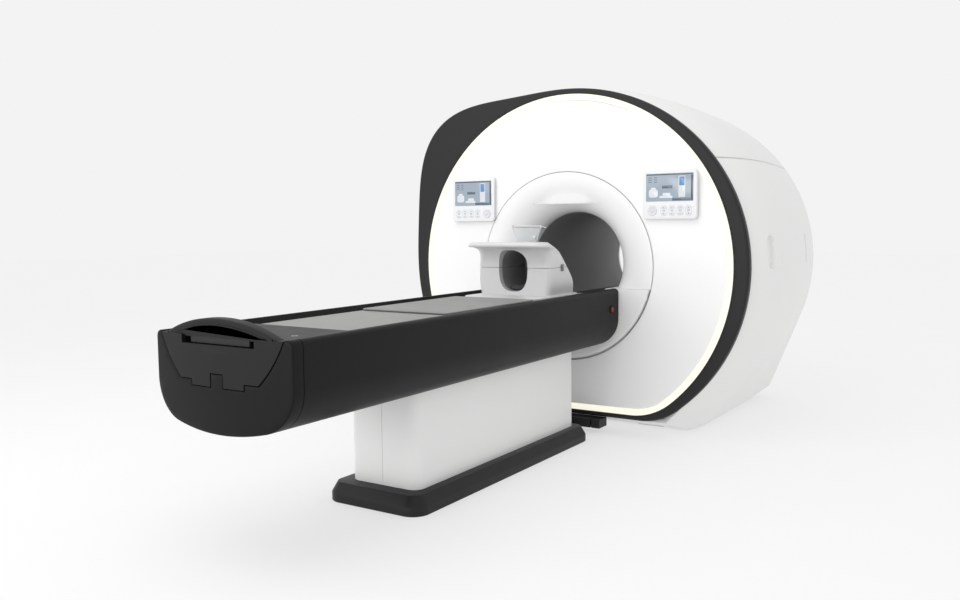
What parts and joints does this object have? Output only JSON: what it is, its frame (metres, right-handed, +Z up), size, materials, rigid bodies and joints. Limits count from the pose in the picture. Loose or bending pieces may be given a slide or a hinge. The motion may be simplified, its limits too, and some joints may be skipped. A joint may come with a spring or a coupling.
{
  "type": "mri scanner",
  "caption": "Whole-body magnetic resonance scanner: rounded covered magnet with a lit ring and flared bore, a lifting patient table with a sliding cradle, and a two-part head coil.",
  "frame": {"origin": "middle of the footprint, on the floor", "axes": "+X to the right of someone at the foot of the table facing the bore, +Y along the table into the bore, +Z up"},
  "size_m": [2.3509, 4.22, 2.0274],
  "materials": {
    "white_cover": "satin",
    "front_white": "satin",
    "black_trim": "satin",
    "light": "lit diffuser",
    "bore_grey": "satin",
    "bridge_grey": "matte",
    "table_black": "satin",
    "panel_black": "gloss",
    "screen": "lit",
    "key_grey": "satin",
    "key_white": "satin",
    "deck_black": "matte",
    "cradle_grey": "matte",
    "mat_grey": "coated fabric",
    "coil_white": "satin",
    "cushion_grey": "coated fabric",
    "mirror_back": "mirror",
    "clear_stem": "frosted",
    "stop_red": "gloss",
    "steel": "brushed",
    "painted_frame": "satin paint",
    "vessel": "satin paint",
    "copper": "wound conductor",
    "epoxy": "cast resin and conductor",
    "belt_rubber": "matte",
    "roller_rubber": "matte"
  },
  "bodies": {
    "gantry": {"front_cover": "front_white", "light_ring": "light", "front_bezel": "black_trim", "front_funnel": "front_white", "bore_shelf": "front_white", "bore_liner": "bore_grey", "bore_bridge": "bridge_grey", "rear_funnel": "white_cover", "rear_cover": "white_cover", "side_cover_left": "white_cover", "side_cover_right": "white_cover", "top_cover": "white_cover", "cover_frame": "painted_frame", "cryostat_vessel": "vessel", "magnet_windings": "copper", "gradient_coil": "epoxy", "body_coil": "copper", "cold_head": "steel", "magnet_feet": "painted_frame", "panel_housing_left": "front_white", "panel_housing_right": "front_white", "panel_screen_left": "screen", "panel_screen_right": "screen", "panel_keypad_left": "key_white", "panel_keypad_right": "key_white", "plinth": "table_black", "pedestal_cover_left": "white_cover", "pedestal_cover_right": "white_cover", "lift_column_outer": "painted_frame", "dock_bracket": "deck_black"},
    "table": {"table_shell": "table_black", "end_cap": "table_black", "guide_rail": "steel", "table_frame": "painted_frame", "lift_column_inner": "steel", "drive_motor": "steel", "drive_belt": "belt_rubber", "bearing_brackets": "steel", "stop_collar": "panel_black"},
    "cradle": {"cradle_board": "cradle_grey", "cradle_end_panel": "deck_black", "arch_handle": "deck_black", "cradle_carriage": "steel", "body_mat": "mat_grey", "coil_lower_shell": "coil_white", "head_cushion": "cushion_grey"},
    "coil_top": {"coil_upper_shell": "coil_white", "mirror_stem": "clear_stem"},
    "latch_left": {"coil_latch_left": "key_grey"},
    "latch_right": {"coil_latch_right": "key_grey"},
    "mirror_plate": {"mirror": "mirror_back"},
    "knob": {"mirror_knob": "coil_white"},
    "paddle": {"release_paddle": "deck_black"},
    "stop": {"stop_button": "stop_red"},
    "pulley_foot": {"drive_pulley_foot": "steel"},
    "pulley_head": {"drive_pulley_head": "steel"},
    "roller": {"support_roller": "roller_rubber"},
    "pad_left": {"navigation_pad_left": "key_white"},
    "pad_right": {"navigation_pad_right": "key_white"}
  },
  "joints": [
    {"name": "table_lift", "type": "slide", "parent": "gantry", "child": "table", "axis": [0, 0, 1], "range_m": [-0.12, 0]},
    {"name": "cradle_travel", "type": "slide", "parent": "table", "child": "cradle", "axis": [0, 1, 0], "range_m": [0, 1.6]},
    {"name": "coil_lift", "type": "slide", "parent": "cradle", "child": "coil_top", "axis": [0, 0, -1], "range_m": [-0.15, 0]},
    {"name": "latch_left_turn", "type": "hinge", "parent": "cradle", "child": "latch_left", "pos_m": [-0.229, 0.039, 0.968], "axis": [0, 1, 0], "range_deg": [-60, 0]},
    {"name": "latch_right_turn", "type": "hinge", "parent": "cradle", "child": "latch_right", "pos_m": [0.229, 0.039, 0.968], "axis": [0, -1, 0], "range_deg": [-60, 0]},
    {"name": "mirror_tilt", "type": "hinge", "parent": "coil_top", "child": "mirror_plate", "pos_m": [0, 0.0605, 1.2045], "axis": [1, 0, 0], "range_deg": [-20, 50]},
    {"name": "mirror_knob_turn", "type": "hinge", "parent": "coil_top", "child": "knob", "pos_m": [0.052, 0.05, 1.147], "axis": [0, -1, 0], "range_deg": [-90, 90]},
    {"name": "release_pull", "type": "hinge", "parent": "cradle", "child": "paddle", "pos_m": [0, -2.086, 0.834], "axis": [-1, 0, 0], "range_deg": [0, 25], "stiffness_Nm_per_rad": 0.6},
    {"name": "stop_press", "type": "slide", "parent": "table", "child": "stop", "axis": [-1, 0, 0], "range_m": [0, 0.004]},
    {"name": "pulley_foot_spin", "type": "hinge", "parent": "table", "child": "pulley_foot", "pos_m": [0.085, -1.93, 0.647], "axis": [-1, 0, 0], "continuous": true},
    {"name": "pulley_head_spin", "type": "hinge", "parent": "table", "child": "pulley_head", "pos_m": [0.085, -0.23, 0.647], "axis": [-1, 0, 0], "continuous": true},
    {"name": "roller_spin", "type": "hinge", "parent": "table", "child": "roller", "pos_m": [0, 0.45, 0.7466], "axis": [-1, 0, 0], "continuous": true},
    {"name": "pad_left_press", "type": "slide", "parent": "gantry", "child": "pad_left", "axis": [0, 1, 0], "range_m": [0, 0.0015], "stiffness_N_per_m": 800},
    {"name": "pad_right_press", "type": "slide", "parent": "gantry", "child": "pad_right", "axis": [0, 1, 0], "range_m": [0, 0.0015], "stiffness_N_per_m": 800}
  ],
  "couplings": [
    {"joint": "pulley_foot_spin", "follows": "cradle_travel", "rad_per_m": 125},
    {"joint": "pulley_head_spin", "follows": "cradle_travel", "rad_per_m": 125},
    {"joint": "roller_spin", "follows": "cradle_travel", "rad_per_m": 35.714}
  ]
}
